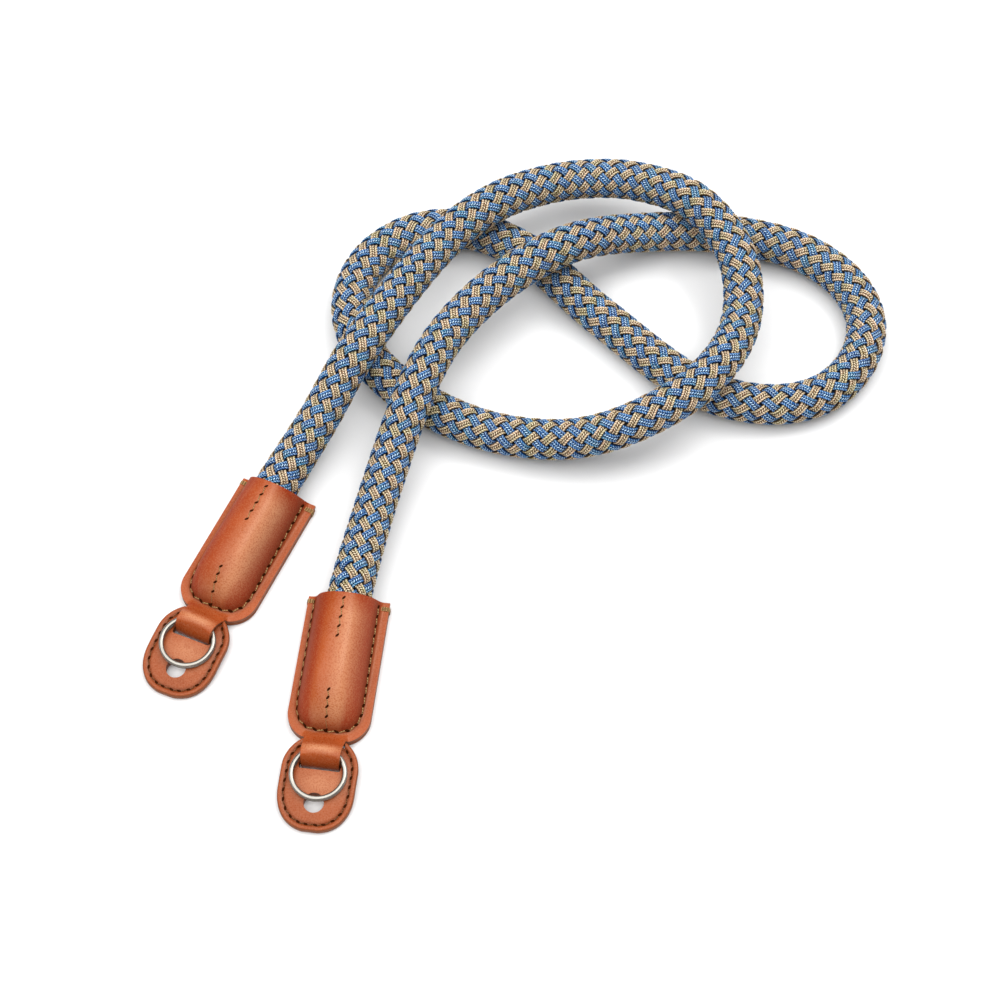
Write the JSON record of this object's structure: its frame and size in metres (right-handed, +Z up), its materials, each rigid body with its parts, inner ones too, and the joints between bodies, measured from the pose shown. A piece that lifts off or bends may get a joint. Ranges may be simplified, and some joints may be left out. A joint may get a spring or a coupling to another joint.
{
  "type": "camera strap",
  "caption": "Braided round rope camera strap lying in loose loops, with sewn leather end sleeves, slotted leather flaps and metal split rings for a camera's strap lugs.",
  "frame": {"origin": "on the ground, at the middle of the box round the two leather ends", "axes": "+Z up from the ground that the strap lies on, +X to the right and +Y away from the viewer of the picture"},
  "size_m": [0.2127, 0.2121, 0.0254],
  "materials": {
    "rope": "blue and beige braid of twisted synthetic yarn",
    "sleeve_leather": "smooth vegetable-tanned cognac leather, satin",
    "back_leather": "plain cognac leather, matt",
    "flap_leather": "smooth cognac leather with burnished edges, satin",
    "ring_metal": "bright nickel plate"
  },
  "bodies": {
    "root": {"rope": "rope", "sleeve_front_a": "sleeve_leather", "sleeve_back_a": "back_leather", "flap_a": "flap_leather", "split_ring_a": "ring_metal", "sleeve_front_b": "sleeve_leather", "sleeve_back_b": "back_leather", "flap_b": "flap_leather", "split_ring_b": "ring_metal"}
  },
  "joints": []
}
